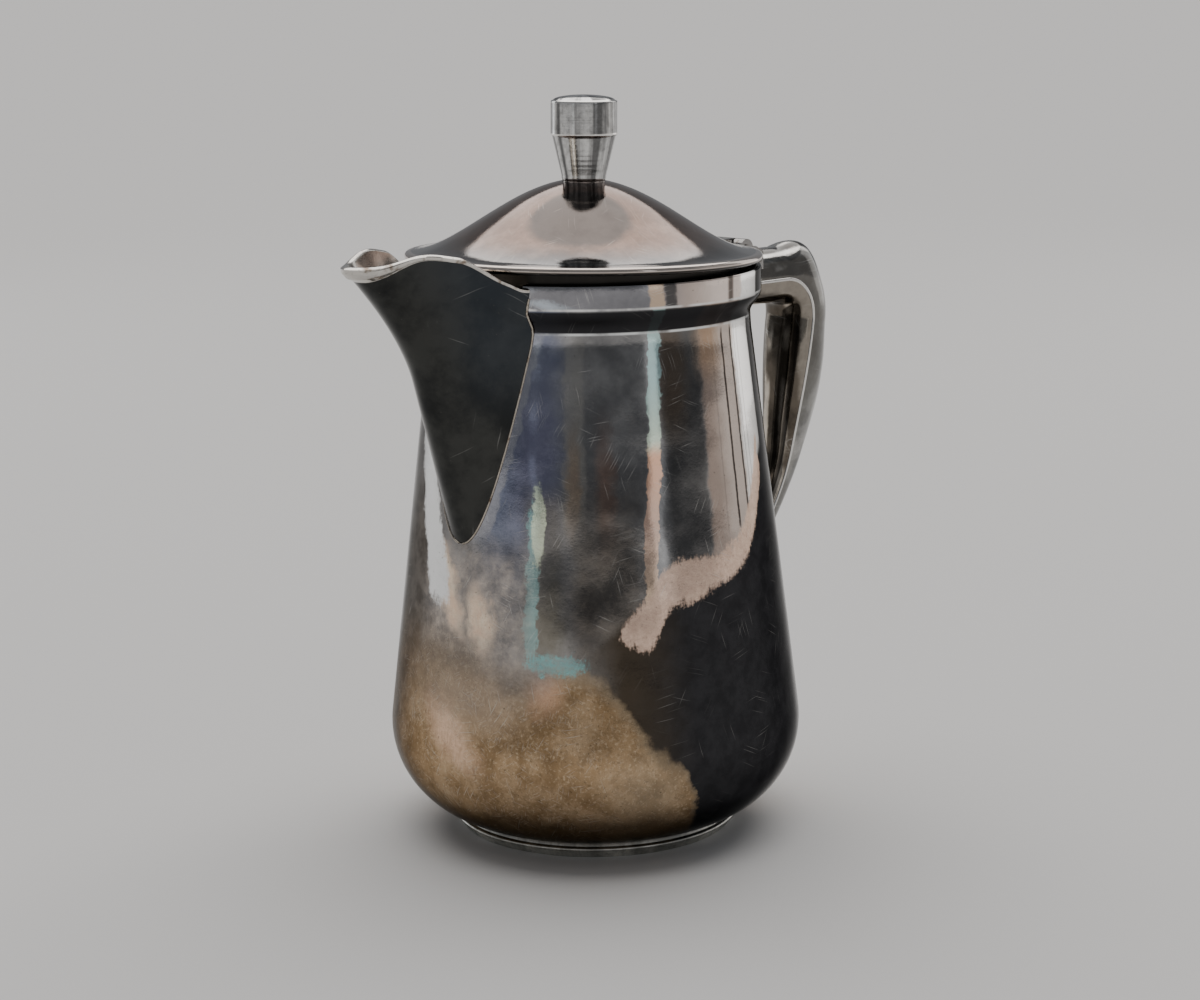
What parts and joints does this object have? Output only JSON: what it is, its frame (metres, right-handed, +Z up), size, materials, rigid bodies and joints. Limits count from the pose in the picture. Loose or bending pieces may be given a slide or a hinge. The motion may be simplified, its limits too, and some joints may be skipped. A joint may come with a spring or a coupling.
{
  "type": "lidded cream jug",
  "caption": "Small tapered metal cream jug with a sparrow-beak spout, hollow loop handle and a domed, knobbed lid that swings up on a pin hinge.",
  "frame": {"origin": "centre of the foot ring's resting circle, on the body's turning axis", "axes": "+Z up along the body's turning axis, the spout points along -X, the handle along +X, and the lid's hinge pin lies along Y"},
  "size_m": [0.1129, 0.0696, 0.1231],
  "materials": {
    "plate": "worn, tarnished silver plate",
    "lid_plate": "soft warm silver plate with fine scratches",
    "knob_metal": "lathe-turned grey metal",
    "foot_metal": "dull grey, unpolished",
    "hinge_metal": "worn silver plate over drawn wire and strip"
  },
  "bodies": {
    "jug": {"body": "plate", "foot_ring": "foot_metal", "spout": "plate", "handle_outer_shell": "plate", "handle_inner_shell": "plate", "hinge_bracket": "hinge_metal", "hinge_pin": "hinge_metal"},
    "lid": {"lid_cover": "lid_plate", "lid_bezel": "lid_plate", "lid_leaf": "hinge_metal", "knob": "knob_metal", "knob_stud": "hinge_metal", "knob_washer": "hinge_metal", "knob_nut": "hinge_metal"}
  },
  "joints": [
    {"name": "lid_hinge", "type": "hinge", "parent": "jug", "child": "lid", "pos_m": [0.035, 0, 0.095], "axis": [0, 1, 0], "range_deg": [0, 105]}
  ]
}
